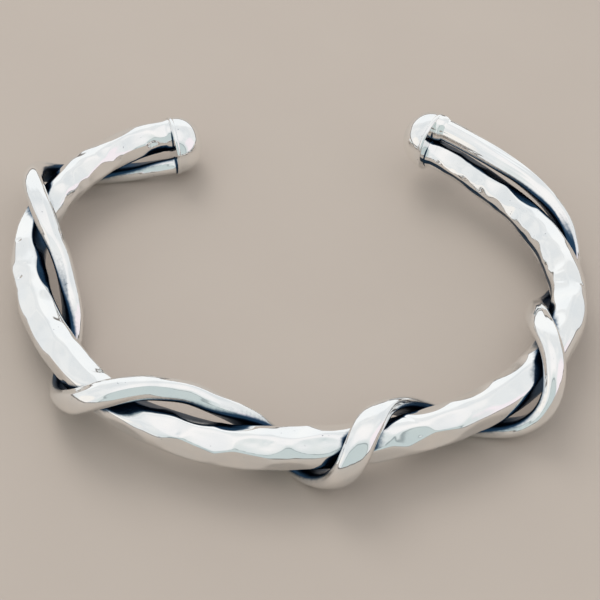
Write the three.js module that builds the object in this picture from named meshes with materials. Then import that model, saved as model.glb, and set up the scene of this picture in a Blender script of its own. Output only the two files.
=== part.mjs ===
// A wrist torc: a hammered silver bar bent to an open oval, a smooth wire wound loosely round it,
// and a domed cap that closes the two ends of bar and wire together on each side of the gap.
//
// Millimetres, +Z up. The cuff lies flat on the plane z = 0, with its gap towards +Y.
// Both the bar and the wire are described by the bearing round the wrist: 0 degrees is the front
// (-Y), negative bearings are on the left (-X) and positive ones on the right (+X).

import * as THREE from 'three';
import { mergeVertices } from 'three/addons/utils/BufferGeometryUtils.js';

// ---------------------------------------------------------------- driving dimensions

// The bar: how far its centre lies from the middle of the wrist, and how thick it is.
const BAR_TABLE = [
  { bearing: -148.9, reach: 32.2, thick: 4.1 },
  { bearing: -143, reach: 33.2, thick: 4.3 },
  { bearing: -133, reach: 34.2, thick: 4.5 },
  { bearing: -122, reach: 34.7, thick: 4.6 },
  { bearing: -106, reach: 34.3, thick: 4.7 },
  { bearing: -90, reach: 31.9, thick: 4.7 },
  { bearing: -72, reach: 29.0, thick: 4.8 },
  { bearing: -50, reach: 26.3, thick: 4.7 },
  { bearing: -30, reach: 24.1, thick: 5.2 },
  { bearing: 0, reach: 22.2, thick: 5.4 },
  { bearing: 25, reach: 23.1, thick: 5.2 },
  { bearing: 45, reach: 25.6, thick: 5 },
  { bearing: 65, reach: 29.1, thick: 4.9 },
  { bearing: 82, reach: 31.8, thick: 4.8 },
  { bearing: 95, reach: 32.4, thick: 4.6 },
  { bearing: 110, reach: 31.5, thick: 4.4 },
  { bearing: 127, reach: 30.0, thick: 4 },
  { bearing: 145.8, reach: 29.6, thick: 3.8 },
];

// The wire: the side of the bar that it lies on (turn, in degrees: 0 is the outer side, 90 the top,
// 180 the wrist side, 270 the underside), its distance from the bar's centre, and its oval section.
const WIRE_TABLE = [
  { bearing: -148.9, turn: 218, reach: 4, width: 2.2, thick: 2.1 },
  { bearing: -143, turn: 235, reach: 3.9, width: 2.2, thick: 2.1 },
  { bearing: -137, turn: 263, reach: 3.85, width: 2.3, thick: 2.2 },
  { bearing: -131, turn: 295, reach: 3.85, width: 2.4, thick: 2.2 },
  { bearing: -126, turn: 332, reach: 3.85, width: 2.6, thick: 2.3 },
  { bearing: -120, turn: 388, reach: 4.15, width: 2.7, thick: 2.3 },
  { bearing: -113, turn: 442, reach: 4.05, width: 2.8, thick: 2.4 },
  { bearing: -105, turn: 493, reach: 4, width: 2.8, thick: 2.3 },
  { bearing: -97, turn: 530, reach: 4.3, width: 2.8, thick: 2.4 },
  { bearing: -87, turn: 554, reach: 4.25, width: 2.8, thick: 2.4 },
  { bearing: -79, turn: 598, reach: 3.95, width: 2.8, thick: 2.4 },
  { bearing: -70, turn: 654, reach: 3.75, width: 3, thick: 2.2 },
  { bearing: -62, turn: 717, reach: 3.6, width: 3.1, thick: 2.1 },
  { bearing: -53, turn: 790, reach: 4, width: 3.3, thick: 2.5 },
  { bearing: -44, turn: 844, reach: 4.4, width: 3, thick: 2.8 },
  { bearing: -35, turn: 860, reach: 4.9, width: 2.8, thick: 2.8 },
  { bearing: -25, turn: 872, reach: 4.4, width: 2.8, thick: 2.6 },
  { bearing: -15, turn: 902, reach: 4, width: 2.9, thick: 2.4 },
  { bearing: -7, turn: 944, reach: 4, width: 3, thick: 2.4 },
  { bearing: 0, turn: 988, reach: 3.95, width: 3, thick: 2.3 },
  { bearing: 5, turn: 1017, reach: 3.9, width: 3.2, thick: 2.1 },
  { bearing: 8, turn: 1040, reach: 3.9, width: 3.3, thick: 2.1 },
  { bearing: 11, turn: 1068, reach: 3.9, width: 3.4, thick: 2.1 },
  { bearing: 14.2, turn: 1104, reach: 3.9, width: 3.5, thick: 2.2 },
  { bearing: 18.5, turn: 1152, reach: 3.85, width: 3.6, thick: 2.2 },
  { bearing: 25, turn: 1204, reach: 3.75, width: 3.4, thick: 2 },
  { bearing: 33, turn: 1250, reach: 3.75, width: 3.1, thick: 2 },
  { bearing: 44, turn: 1305, reach: 3.8, width: 2.8, thick: 2.2 },
  { bearing: 50, turn: 1334, reach: 3.85, width: 2.7, thick: 2.3 },
  { bearing: 55, turn: 1366, reach: 3.85, width: 2.7, thick: 2.2 },
  { bearing: 62, turn: 1426, reach: 4.4, width: 2.7, thick: 2.2 },
  { bearing: 68, turn: 1486, reach: 4.15, width: 2.8, thick: 2.3 },
  { bearing: 75, turn: 1552, reach: 4, width: 3, thick: 2.4 },
  { bearing: 82, turn: 1598, reach: 3.85, width: 3.1, thick: 2.3 },
  { bearing: 88, turn: 1638, reach: 3.75, width: 3, thick: 2.2 },
  { bearing: 94, turn: 1680, reach: 3.75, width: 2.7, thick: 2.2 },
  { bearing: 100, turn: 1724, reach: 3.85, width: 2.6, thick: 2.3 },
  { bearing: 105, turn: 1766, reach: 3.5, width: 2.5, thick: 2.1 },
  { bearing: 112, turn: 1806, reach: 3.55, width: 2.6, thick: 2.3 },
  { bearing: 122, turn: 1836, reach: 3.7, width: 2.8, thick: 2.6 },
  { bearing: 134, turn: 1858, reach: 3.7, width: 2.9, thick: 2.8 },
  { bearing: 145.8, turn: 1862, reach: 3.6, width: 2.8, thick: 2.8 },
];

// Hammer marks: rows of blows along the bar, each a shallow flat on its round side.
const BLOW_ROWS = 6; // rows round the bar
const BLOWS_IN_ROW = 27; // wide apart on the thick front, close together on the thin ends
const BLOW_SPREAD = 150; // the rows reach to this bearing on both sides, degrees
const BLOW_CROWDING = 0.25; // how much closer the blows fall towards the ends
const BLOW_DEPTH = 0.28; // how far a blow's flat lies inside the round bar
const BLOW_LENGTH_CURVE = 0.035; // how fast the flat rises out of the metal along the bar, per mm
const BLOW_SOFTNESS = 0.05; // rounding of the ridges between flats
const BLOW_FADE = 2.5; // the bar is round again this far from a cap, mm

// The caps.
const CAP_RADIUS = 3.8;
const CAP_DOME = 2.85; // height of the dome above the rim band
const CAP_BAND = 0.5; // width of the rim band
const CAP_OFFSET = 1.45; // a cap's centre lies this far from the bar's, towards the wire
const CAP_LIP = 0.14; // the band's rounded edge stands this far outside the dome
const CAP_SEAM = 0.15; // from a cap's flat back to the filed ends of the bar and the wire

// How far below the bar's centre plane the cuff rests, on the undersides of the wire.
const REST_DEPTH = 4.8;

// Meshing.
const BAR_SIDES = 16;
const BAR_STEPS = 124;
const WIRE_SIDES = 12;
const WIRE_STEPS = 154;
const CAP_SIDES = 28;
const DOME_ROWS = 6;

const SILVER = { color: 0xd9dbda, roughness: 0.12, metalness: 1.0 };
const HAMMERED_SILVER = { color: 0xd2d4d3, roughness: 0.18, metalness: 1.0 };

// ---------------------------------------------------------------- curves

const radians = THREE.MathUtils.degToRad;

// A smooth value between the rows of a table: cubic, with each row's slope from its neighbours.
function between(table, column, bearing) {
  const last = table.length - 1;
  let row = 0;
  while (row < last - 1 && table[row + 1].bearing < bearing) {
    row += 1;
  }
  const slope = (index) => {
    const before = table[Math.max(index - 1, 0)];
    const after = table[Math.min(index + 1, last)];
    return (after[column] - before[column]) / (after.bearing - before.bearing);
  };
  const start = table[row];
  const end = table[row + 1];
  const span = end.bearing - start.bearing;
  const t = (bearing - start.bearing) / span;
  const startWeight = (1 + 2 * t) * (1 - t) ** 2;
  const endWeight = t * t * (3 - 2 * t);
  return startWeight * start[column] + endWeight * end[column]
    + span * t * (1 - t) * ((1 - t) * slope(row) - t * slope(row + 1));
}

const FIRST_BEARING = BAR_TABLE[0].bearing;
const LAST_BEARING = BAR_TABLE[BAR_TABLE.length - 1].bearing;

function barCentre(bearing) {
  const reach = between(BAR_TABLE, 'reach', bearing);
  const angle = radians(bearing);
  return new THREE.Vector3(reach * Math.sin(angle), -reach * Math.cos(angle), 0);
}

// The bar's centre, its direction and its outward side at a bearing.
function barFrame(bearing) {
  const nudge = 0.05;
  const centre = barCentre(bearing);
  const along = barCentre(bearing + nudge).sub(barCentre(bearing - nudge)).normalize();
  const up = new THREE.Vector3(0, 0, 1);
  const outward = new THREE.Vector3().crossVectors(along, up).normalize();
  return { centre, along, outward, up };
}

// The direction from the bar's centre to a side of it, where turn 0 is outward and 90 is up.
function sideOf(frame, turn) {
  const angle = radians(turn);
  return frame.outward.clone().multiplyScalar(Math.cos(angle))
    .addScaledVector(frame.up, Math.sin(angle));
}

function wireCentre(bearing) {
  const frame = barFrame(bearing);
  const side = sideOf(frame, between(WIRE_TABLE, 'turn', bearing));
  return frame.centre.addScaledVector(side, between(WIRE_TABLE, 'reach', bearing));
}

// ---------------------------------------------------------------- hammer marks

// A repeatable uneven number from -1 to 1, so that no two blows are quite alike.
function uneven(index, salt) {
  const wave = Math.sin(index * 12.9898 + salt * 78.233) * 43758.5453;
  return 2 * (wave - Math.floor(wave)) - 1;
}

const BLOWS = [];
for (let row = 0; row < BLOW_ROWS; row += 1) {
  const stagger = 0.25 + 0.5 * (row % 2);
  for (let step = 0; step < BLOWS_IN_ROW; step += 1) {
    const index = BLOWS.length;
    const place = (2 * (step + stagger + 0.22 * uneven(index, 1))) / BLOWS_IN_ROW - 1;
    BLOWS.push({
      bearing: BLOW_SPREAD * ((1 + BLOW_CROWDING) * place - BLOW_CROWDING * place ** 3),
      turn: (360 / BLOW_ROWS) * (row + 0.28 * uneven(index, 2)),
      depth: BLOW_DEPTH * (1 + 0.45 * uneven(index, 3)),
    });
  }
}

// The bar's radius at a bearing and turn: the round bar, cut down to each blow's flat near by.
function hammeredRadius(bearing, turn) {
  const round = between(BAR_TABLE, 'thick', bearing) / 2;
  const mmPerDegree = radians(between(BAR_TABLE, 'reach', bearing));
  const fromEnd = Math.min(bearing - FIRST_BEARING, LAST_BEARING - bearing) * mmPerDegree;
  const strength = THREE.MathUtils.smoothstep(fromEnd, BLOW_FADE * 0.4, BLOW_FADE);
  let soft = 1;
  for (const blow of BLOWS) {
    const distance = (bearing - blow.bearing) * mmPerDegree;
    const swing = Math.cos(radians(turn - blow.turn));
    if (Math.abs(distance) < 6 && swing > 0.35) {
      const flat = (round - blow.depth) / swing + BLOW_LENGTH_CURVE * distance * distance;
      soft += Math.exp((round - flat) / BLOW_SOFTNESS);
    }
  }
  return round - strength * BLOW_SOFTNESS * Math.log(soft);
}

// ---------------------------------------------------------------- geometry helpers

// A unit cylinder whose points are carried to a path: place(share along, angle round, how far out).
function sweep(sides, steps, place) {
  const geometry = new THREE.CylinderGeometry(1, 1, 1, sides, steps);
  geometry.deleteAttribute('normal');
  geometry.deleteAttribute('uv');
  const points = geometry.getAttribute('position');
  for (let i = 0; i < points.count; i += 1) {
    const out = Math.hypot(points.getX(i), points.getZ(i));
    const angle = Math.atan2(points.getX(i), points.getZ(i));
    const spot = place(0.5 - points.getY(i), angle, out);
    points.setXYZ(i, spot.x, spot.y, spot.z);
  }
  return mergeVertices(geometry, 1e-4);
}

function piece(name, geometry, finish) {
  geometry.computeVertexNormals();
  const mesh = new THREE.Mesh(geometry, new THREE.MeshStandardMaterial(finish));
  mesh.name = name;
  return mesh;
}

// ---------------------------------------------------------------- bar

function hammeredBar() {
  return sweep(BAR_SIDES, BAR_STEPS, (share, angle, out) => {
    const bearing = THREE.MathUtils.lerp(FIRST_BEARING, LAST_BEARING, share);
    const frame = barFrame(bearing);
    const turn = THREE.MathUtils.radToDeg(angle);
    const radius = out * hammeredRadius(bearing, turn);
    return frame.centre.addScaledVector(sideOf(frame, turn), radius);
  });
}

// ---------------------------------------------------------------- wire

// The wire's centre, its direction, its side away from the bar and its side across.
function wireFrame(bearing) {
  const nudge = 0.05;
  const along = wireCentre(bearing + nudge).sub(wireCentre(bearing - nudge)).normalize();
  const away = sideOf(barFrame(bearing), between(WIRE_TABLE, 'turn', bearing));
  away.addScaledVector(along, -away.dot(along)).normalize();
  const across = new THREE.Vector3().crossVectors(along, away);
  return { centre: wireCentre(bearing), along, away, across };
}

// Moves a point of the wire's end along the wire, so that the end is filed flush with the bar's.
function fileFlush(spot, along, bearing) {
  const bar = barFrame(bearing);
  const short = bar.centre.clone().sub(spot).dot(bar.along) / along.dot(bar.along);
  spot.addScaledVector(along, short);
}

function wrapWire() {
  return sweep(WIRE_SIDES, WIRE_STEPS, (share, angle, out) => {
    const bearing = THREE.MathUtils.lerp(FIRST_BEARING, LAST_BEARING, share);
    const frame = wireFrame(bearing);
    const halfThick = between(WIRE_TABLE, 'thick', bearing) / 2;
    const halfWidth = between(WIRE_TABLE, 'width', bearing) / 2;
    const spot = frame.centre.addScaledVector(frame.away, out * halfThick * Math.cos(angle))
      .addScaledVector(frame.across, -out * halfWidth * Math.sin(angle));
    if (share === 0 || share === 1) {
      fileFlush(spot, frame.along, bearing);
    }
    spot.z = Math.max(spot.z, -REST_DEPTH);
    return spot;
  });
}

// ---------------------------------------------------------------- caps

// The cap as it is turned: a flat back at y = 0, a narrow rounded band, and a dome.
function capProfile() {
  const profile = [
    new THREE.Vector2(0, 0),
    new THREE.Vector2(CAP_RADIUS - CAP_LIP, 0),
    new THREE.Vector2(CAP_RADIUS, 0.3 * CAP_BAND),
    new THREE.Vector2(CAP_RADIUS, 0.7 * CAP_BAND),
    new THREE.Vector2(CAP_RADIUS - CAP_LIP, CAP_BAND),
  ];
  for (let row = 1; row < DOME_ROWS; row += 1) {
    const lift = (row / DOME_ROWS) * (Math.PI / 2);
    profile.push(new THREE.Vector2(
      (CAP_RADIUS - CAP_LIP) * Math.cos(lift),
      CAP_BAND + CAP_DOME * Math.sin(lift),
    ));
  }
  profile.push(new THREE.Vector2(0, CAP_BAND + CAP_DOME));
  return profile;
}

// A cap on one end: inward is +1 where bearings grow away from the end, and -1 where they shrink.
function endCap(endBearing, inward) {
  const frame = barFrame(endBearing);
  const outOfEnd = frame.along.clone().multiplyScalar(-inward);
  const towardsWire = sideOf(frame, between(WIRE_TABLE, 'turn', endBearing));
  const back = frame.centre.clone()
    .addScaledVector(towardsWire, CAP_OFFSET)
    .addScaledVector(outOfEnd, CAP_SEAM);
  const geometry = new THREE.LatheGeometry(capProfile(), CAP_SIDES);
  geometry.deleteAttribute('normal');
  geometry.deleteAttribute('uv');
  const turn = new THREE.Quaternion().setFromUnitVectors(new THREE.Vector3(0, 1, 0), outOfEnd);
  geometry.applyMatrix4(new THREE.Matrix4().compose(back, turn, new THREE.Vector3(1, 1, 1)));
  return mergeVertices(geometry, 1e-4);
}

// ---------------------------------------------------------------- assembly

const cuff = new THREE.Group();
cuff.add(piece('hammered_bar', hammeredBar(), HAMMERED_SILVER));
cuff.add(piece('wrap_wire', wrapWire(), SILVER));
cuff.add(piece('end_cap_left', endCap(FIRST_BEARING, 1), SILVER));
cuff.add(piece('end_cap_right', endCap(LAST_BEARING, -1), SILVER));

// The origin is under the middle of the cuff's box, on the plane that it rests on.
const box = new THREE.Box3().setFromObject(cuff);
const middle = box.getCenter(new THREE.Vector3());
cuff.position.set(-middle.x, -middle.y, -box.min.z);

const torc = new THREE.Group();
torc.add(cuff);

export default torc;
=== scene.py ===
# %% [markdown]
# # A hammered silver torc
#
# The torc is a cuff for the wrist. A round silver bar is hammered all over and bent to an open oval, a
# smooth oval wire is wound loosely round it, and a domed cap closes the ends of both on each side of the
# gap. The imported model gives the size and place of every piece. This notebook makes each piece again as
# a smith would see it: fine enough for a mirror polish, with its hammer marks, its seams and its finish.

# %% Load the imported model
import math

import bmesh
import bpy
import numpy as np
from mathutils import Matrix, Vector
from mathutils.kdtree import KDTree


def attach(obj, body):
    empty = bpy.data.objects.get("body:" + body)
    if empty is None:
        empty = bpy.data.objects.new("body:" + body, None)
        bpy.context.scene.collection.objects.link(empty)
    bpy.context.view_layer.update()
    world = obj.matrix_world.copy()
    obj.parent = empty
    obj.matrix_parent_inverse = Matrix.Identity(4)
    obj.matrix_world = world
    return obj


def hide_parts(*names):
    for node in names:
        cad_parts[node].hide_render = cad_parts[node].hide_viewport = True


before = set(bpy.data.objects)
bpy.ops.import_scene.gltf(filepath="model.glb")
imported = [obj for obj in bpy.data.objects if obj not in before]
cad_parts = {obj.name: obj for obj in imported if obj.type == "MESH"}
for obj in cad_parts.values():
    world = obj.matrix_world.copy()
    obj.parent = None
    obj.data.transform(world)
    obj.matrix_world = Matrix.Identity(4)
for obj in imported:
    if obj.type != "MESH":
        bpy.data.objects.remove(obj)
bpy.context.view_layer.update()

print("nodes:", sorted(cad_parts))

# %% [markdown]
# ## Sizes
#
# A torc is easiest to describe by the bearing round the wrist: 0 degrees is the front, negative bearings
# are on the left and positive ones on the right. At each bearing a table says how far the bar's centre
# lies from the middle of the wrist and how thick the bar is. A second table says on which side of the bar
# the wire lies there. Both could be drawn as curves by hand, but a table with named columns is easier to
# change, and a smooth formula fills in what lies between its rows. Blender works in metres, so every
# length is written in millimetres and multiplied by MM once.

# %% Driving sizes
MM = 0.001
WRIST_CENTRE = Vector((0.3182, -1.7444, 4.8)) * MM  # middle of the wrist, level with the bar's centre
REST_DEPTH = 4.8  # the plane that the torc lies on is this far below the bar's centre

BAR_TABLE = np.array(
    [
        (-148.9, 32.2, 4.1),
        (-143, 33.2, 4.3),
        (-133, 34.2, 4.5),
        (-122, 34.7, 4.6),
        (-106, 34.3, 4.7),
        (-90, 31.9, 4.7),
        (-72, 29, 4.8),
        (-50, 26.3, 4.7),
        (-30, 24.1, 5.2),
        (0, 22.2, 5.4),
        (25, 23.1, 5.2),
        (45, 25.6, 5),
        (65, 29.1, 4.9),
        (82, 31.8, 4.8),
        (95, 32.4, 4.6),
        (110, 31.5, 4.4),
        (127, 30, 4),
        (145.8, 29.6, 3.8),
    ],
    dtype=[("bearing", float), ("reach", float), ("thick", float)],
)

# turn is the side of the bar that the wire lies on: 0 outside, 90 on top, 180 on the wrist's side, 270 below
WIRE_TABLE = np.array(
    [
        (-148.9, 218, 4, 2.2, 2.1),
        (-143, 235, 3.9, 2.2, 2.1),
        (-137, 263, 3.85, 2.3, 2.2),
        (-131, 295, 3.85, 2.4, 2.2),
        (-126, 332, 3.85, 2.6, 2.3),
        (-120, 388, 4.15, 2.7, 2.3),
        (-113, 442, 4.05, 2.8, 2.4),
        (-105, 493, 4, 2.8, 2.3),
        (-97, 530, 4.3, 2.8, 2.4),
        (-87, 554, 4.25, 2.8, 2.4),
        (-79, 598, 3.95, 2.8, 2.4),
        (-70, 654, 3.75, 3, 2.2),
        (-62, 717, 3.6, 3.1, 2.1),
        (-53, 790, 4, 3.3, 2.5),
        (-44, 844, 4.4, 3, 2.8),
        (-35, 860, 4.9, 2.8, 2.8),
        (-25, 872, 4.4, 2.8, 2.6),
        (-15, 902, 4, 2.9, 2.4),
        (-7, 944, 4, 3, 2.4),
        (0, 988, 3.95, 3, 2.3),
        (5, 1017, 3.9, 3.2, 2.1),
        (8, 1040, 3.9, 3.3, 2.1),
        (11, 1068, 3.9, 3.4, 2.1),
        (14.2, 1104, 3.9, 3.5, 2.2),
        (18.5, 1152, 3.85, 3.6, 2.2),
        (25, 1204, 3.75, 3.4, 2),
        (33, 1250, 3.75, 3.1, 2),
        (44, 1305, 3.8, 2.8, 2.2),
        (50, 1334, 3.85, 2.7, 2.3),
        (55, 1366, 3.85, 2.7, 2.2),
        (62, 1426, 4.4, 2.7, 2.2),
        (68, 1486, 4.15, 2.8, 2.3),
        (75, 1552, 4, 3, 2.4),
        (82, 1598, 3.85, 3.1, 2.3),
        (88, 1638, 3.75, 3, 2.2),
        (94, 1680, 3.75, 2.7, 2.2),
        (100, 1724, 3.85, 2.6, 2.3),
        (105, 1766, 3.5, 2.5, 2.1),
        (112, 1806, 3.55, 2.6, 2.3),
        (122, 1836, 3.7, 2.8, 2.6),
        (134, 1858, 3.7, 2.9, 2.8),
        (145.8, 1862, 3.6, 2.8, 2.8),
    ],
    dtype=[("bearing", float), ("turn", float), ("reach", float), ("width", float), ("thick", float)],
)

CAP_RADIUS = 3.78  # of the lip
CAP_DOME = 3.4  # the dome's height
CAP_BAND = 0.5  # the lip's height
CAP_LIP = 0.14  # how far the lip stands out of the dome
CAP_OFFSET = 1.45  # from the bar's centre towards the wire's
CAP_SEAM = 0.006  # hairline between a cap and the ends that it closes

FIRST_BEARING = BAR_TABLE["bearing"][0]
LAST_BEARING = BAR_TABLE["bearing"][-1]
print("bar from bearing", FIRST_BEARING, "to", LAST_BEARING)

# %% [markdown]
# ## The camera
#
# The torc is looked at from the front and from about fifty degrees above the table, close enough for a
# little perspective. A lens of about 150 mm at 30 cm does that. The camera is made first, so that every
# later step can be looked at through it.

# %% Camera
CAMERA_DISTANCE = 300 * MM
CAMERA_ELEVATION = math.radians(50)
FIELD_WIDTH = 72.3 * MM  # what the picture's width spans at the wrist's centre
SENSOR_WIDTH = 36

toward_camera = Vector((0, -math.cos(CAMERA_ELEVATION), math.sin(CAMERA_ELEVATION)))
bpy.ops.object.select_all(action="DESELECT")
bpy.ops.object.camera_add(location=WRIST_CENTRE + CAMERA_DISTANCE * toward_camera)
camera = bpy.context.object
camera.name = "camera"
camera.rotation_euler = toward_camera.to_track_quat("Z", "Y").to_euler()
camera.data.sensor_width = SENSOR_WIDTH
camera.data.lens = SENSOR_WIDTH * CAMERA_DISTANCE / FIELD_WIDTH
camera.data.clip_start = 0.01
camera.data.clip_end = 20
bpy.context.scene.camera = camera
print("lens, mm:", round(camera.data.lens, 1))

# %% [markdown]
# ## The two lines that everything follows
#
# The bar's centre line lies flat at one height. The wire's centre line goes round it. between() reads a
# table smoothly: a cubic through the rows, whose slope at a row comes from its two neighbours. NumPy works
# on all the points of a mesh at once, so these helpers take and return whole arrays.

# %% Reading the tables
NUDGE = 0.05  # degrees to each side of a place on a line, to find its direction there
STEPS_ALONG = 4001


def between(table, column, bearing):
    """A smooth value of a column between the rows of a table."""
    x = table["bearing"]
    y = table[column]
    last = len(x) - 1
    before = np.maximum(np.arange(len(x)) - 1, 0)
    after = np.minimum(np.arange(len(x)) + 1, last)
    slope = (y[after] - y[before]) / (x[after] - x[before])
    row = np.clip(np.searchsorted(x, bearing) - 1, 0, last - 1)
    span = x[row + 1] - x[row]
    t = (bearing - x[row]) / span
    start = (1 + 2 * t) * (1 - t) ** 2 * y[row]
    end = t * t * (3 - 2 * t) * y[row + 1]
    lean = span * t * (1 - t) * ((1 - t) * slope[row] - t * slope[row + 1])
    return start + end + lean


def unit(vectors):
    return vectors / np.linalg.norm(vectors, axis=-1, keepdims=True)


def bar_centre(bearing):
    reach = between(BAR_TABLE, "reach", bearing)
    angle = np.radians(bearing)
    return np.stack([reach * np.sin(angle), -reach * np.cos(angle), 0 * reach], axis=-1)


def bar_frame(bearing):
    """The bar's centre, direction and outward side at each bearing."""
    along = unit(bar_centre(bearing + NUDGE) - bar_centre(bearing - NUDGE))
    outward = unit(np.cross(along, (0, 0, 1)))
    return bar_centre(bearing), along, outward


def side_of_bar(bearing, turn):
    """The direction from the bar's centre to a side of it."""
    outward = bar_frame(bearing)[2]
    angle = np.radians(turn)[..., None]
    return outward * np.cos(angle) + np.array((0, 0, 1)) * np.sin(angle)


def wire_centre(bearing):
    side = side_of_bar(bearing, between(WIRE_TABLE, "turn", bearing))
    return bar_centre(bearing) + side * between(WIRE_TABLE, "reach", bearing)[..., None]


def wire_frame(bearing):
    """The wire's centre, direction, the side away from the bar and the side across."""
    along = unit(wire_centre(bearing + NUDGE) - wire_centre(bearing - NUDGE))
    away = side_of_bar(bearing, between(WIRE_TABLE, "turn", bearing))
    away = unit(away - along * np.sum(away * along, axis=-1, keepdims=True))
    return wire_centre(bearing), along, away, np.cross(along, away)


def lengths_along(centre):
    """Bearings at close steps and the length of the line up to each of them."""
    bearings = np.linspace(FIRST_BEARING, LAST_BEARING, STEPS_ALONG)
    steps = np.linalg.norm(np.diff(centre(bearings), axis=0), axis=1)
    return bearings, np.concatenate([[0], np.cumsum(steps)])


bar_bearings, bar_lengths = lengths_along(bar_centre)
wire_bearings, wire_lengths = lengths_along(wire_centre)
print("bar, mm:", round(bar_lengths[-1], 1), " wire, mm:", round(wire_lengths[-1], 1))

# %% [markdown]
# ## A straight blank
#
# Both the bar and the wire start as a straight rod. A cylinder primitive has only two rings of points, so
# its long edges are subdivided until the rings stand close enough to carry hammer marks. The rod keeps a
# record of where each of its points lay, as an attribute called blank, so that the finish can follow the
# metal after it is bent: draw lines on a wire run along it however it is wound.

# %% Helpers for modelling
def alone(piece):
    """Makes a piece the only selected one."""
    if bpy.context.mode != "OBJECT":
        bpy.ops.object.mode_set(mode="OBJECT")
    bpy.ops.object.select_all(action="DESELECT")
    piece.select_set(True)
    bpy.context.view_layer.objects.active = piece


def select_in_edit_mode(piece, faces=None, edges=None):
    """Opens a piece for editing with only the wanted faces or edges selected."""
    alone(piece)
    bpy.ops.object.mode_set(mode="EDIT")
    bpy.ops.mesh.select_all(action="DESELECT")
    bpy.ops.mesh.select_mode(type="FACE" if faces else "EDGE")
    mesh = bmesh.from_edit_mesh(piece.data)
    for face in mesh.faces if faces else ():
        face.select_set(faces(face))
    for edge in mesh.edges if edges else ():
        if edges(edge):
            edge.select_set(True)
    bmesh.update_edit_mesh(piece.data)


def apply_modifier(piece, kind, **settings):
    """Adds one modifier with its settings and applies it."""
    alone(piece)
    modifier = piece.modifiers.new(kind.title(), kind)
    for name, value in settings.items():
        setattr(modifier, name, value)
    bpy.ops.object.modifier_apply(modifier=modifier.name)


def points_of(piece, what="co"):
    """The places, or the normals, of a piece's points."""
    values = np.empty(3 * len(piece.data.vertices))
    piece.data.vertices.foreach_get(what, values)
    return values.reshape(-1, 3)


def move_points(piece, points):
    piece.data.vertices.foreach_set("co", points.astype(np.float32).ravel())
    piece.data.update()


def paint(piece, name, values, kind="FLOAT"):
    """Writes one value, or one vector, for each point of a piece."""
    layer = piece.data.attributes.new(name, kind, "POINT")
    field = "value" if kind == "FLOAT" else "vector"
    layer.data.foreach_set(field, np.asarray(values, dtype=np.float32).ravel())


# %% Straight rod
def straight_rod(name, length, sides, cuts):
    """A rod of radius 1 mm along X from 0 to its length, cut into short rings."""
    bpy.ops.object.select_all(action="DESELECT")
    bpy.ops.mesh.primitive_cylinder_add(
        vertices=sides, radius=MM, depth=length * MM, end_fill_type="NGON",
        location=(length * MM / 2, 0, 0), rotation=(0, math.pi / 2, 0),
    )
    rod = bpy.context.object
    rod.name = name
    rod.data.name = name
    bpy.ops.object.transform_apply(location=True, rotation=True, scale=True)
    for number in cuts:
        select_in_edit_mode(rod, edges=runs_along)
        bpy.ops.mesh.subdivide(number_cuts=number)
        bpy.ops.object.mode_set(mode="OBJECT")
    paint(rod, "blank", points_of(rod) / MM, "FLOAT_VECTOR")
    print(name, "blank:", len(rod.data.vertices), "points")
    return rod


def runs_along(edge):
    start = edge.verts[0].co
    end = edge.verts[1].co
    return abs(start.x - end.x) > abs(start.y - end.y) + abs(start.z - end.z)


bar = straight_rod("silver_bar", bar_lengths[-1], sides=96, cuts=(29, 30))
wire = straight_rod("silver_wire", wire_lengths[-1], sides=80, cuts=(35, 30))

# %% [markdown]
# ## Hammering the bar
#
# The smith hammers the bar before it is bent. Each blow leaves a shallow flat on the round metal, a few
# millimetres long, and where two flats meet there is a soft ridge. Heavy blows go round the whole bar and
# crowd towards its ends, and a few broad ones turn a side of it flat. Short blows ripple the wrist's side
# near both ends, and light ones smooth the rest. Nicks, a little solder beside the wire's ends and a thin
# fillet against the caps come on top. A Displace modifier with a cell texture gives something like it,
# but its cells have no flats. So the radius of each point is worked out: the round bar, cut down to the
# nearest flats, with a soft minimum that rounds the ridges.

# %% Where the blows fall
BAR_SNUG = 0.974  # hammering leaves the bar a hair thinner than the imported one
BLOW_SPREAD = 150  # the rows of blows reach from minus this bearing to this one
BLOW_CROWDING = 0.25  # how much closer together they fall towards the ends
THICKEST = 5.0  # where the bar is this thick the blows go to their full depth
ROW_START = 0.25  # where the first blow of a row falls, in steps. Every second row is half a step on.
UNEVEN_STEP = 0.22  # how far a blow strays along its row, as a share of a step
UNEVEN_TURN = 0.28  # and round the bar, as a share of the way to the next row
UNEVEN_DEPTH = 0.32
WIDEST_SWING = 0.35  # the cosine of the angle round the bar up to which a blow counts
UNMARKED = 0.32  # mm next to a cap that no blow reaches
BLOW_FADE = 0.48  # mm over which the blows then reach their full depth
RIPPLED_SIDE = 140  # the turn that the short blows near the ends came from
RIPPLED_SPREAD = 42  # degrees of turn to each side of it
RIPPLED_FROM_LEFT = -114
RIPPLED_OVER_LEFT = 10  # degrees over which the ripples grow
RIPPLED_FROM_RIGHT = 62
RIPPLED_OVER_RIGHT = 20
RIPPLED_ELSEWHERE = 0.1  # of their depth, everywhere else on the bar
LIGHT_SHARE = 0.3  # of the light blows' depth shows

# Three kinds of blows, in rows along the bar. curve is how fast a flat rises out of the metal along the
# bar, softness how far its ridges are rounded, and longest how far from its middle it counts, in mm.
BLOW_KINDS = np.array(
    [
        ("heavy", 6, 27, 1, 0.28, 0.035, 0.03, 6),
        ("short", 7, 47, 5, 0.19, 0.11, 0.02, 3),
        ("light", 11, 70, 11, 0.035, 0.05, 0.02, 2.5),
    ],
    dtype=[
        ("name", "U8"), ("rows", int), ("in_row", int), ("salt", int), ("depth", float),
        ("curve", float), ("softness", float), ("longest", float),
    ],
)
HEAVY, SHORT, LIGHT = BLOW_KINDS

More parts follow.
